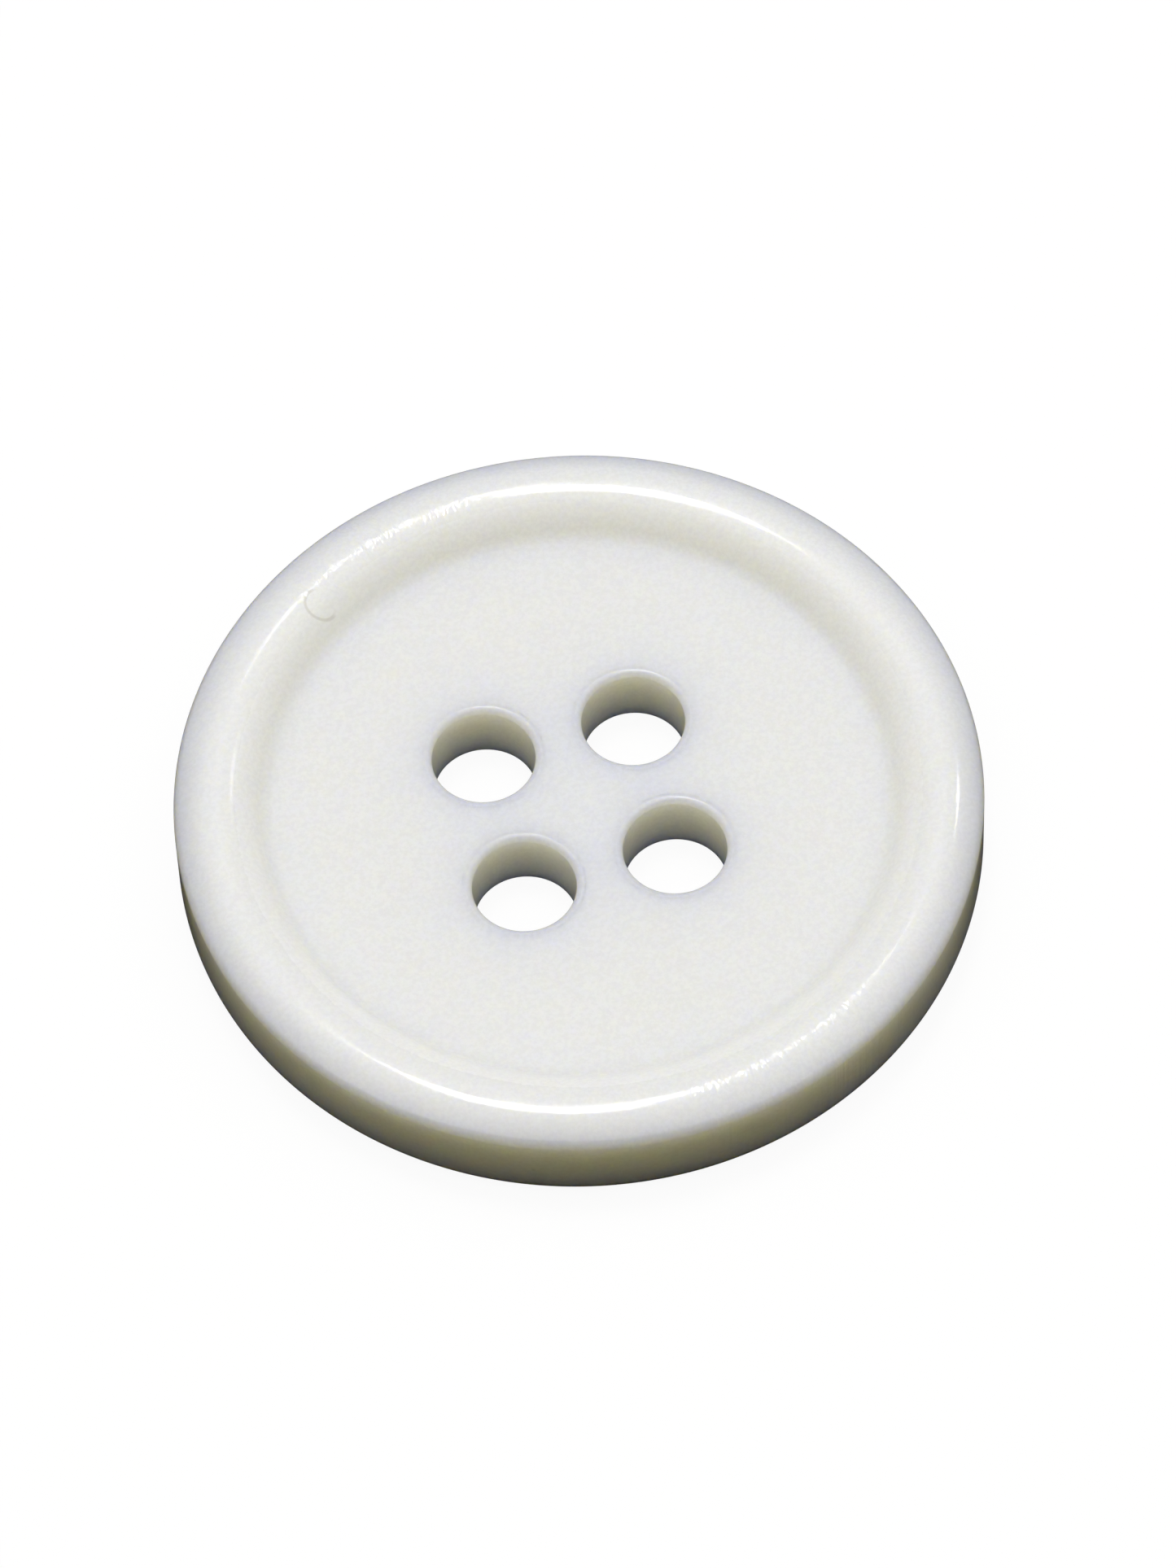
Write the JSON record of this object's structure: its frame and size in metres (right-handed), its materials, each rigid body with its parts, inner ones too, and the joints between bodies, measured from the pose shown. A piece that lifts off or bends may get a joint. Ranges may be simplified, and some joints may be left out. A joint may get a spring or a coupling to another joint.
{
  "type": "sew-on button",
  "caption": "Round sew-on garment button: a disc with a flat back, a raised rounded rim, a shallow recess and sewing holes through its web.",
  "frame": {"origin": "centre of the flat back face, midway between the sewing holes", "axes": "+Z out of the front face, towards the recess and the rim; X and Y along the sides of the square that the sewing holes make"},
  "size_m": [0.013, 0.013, 0.0017],
  "materials": {
    "button_plastic": "glossy rim, satin recess"
  },
  "bodies": {
    "root": {"button_disc": "button_plastic"}
  },
  "joints": []
}
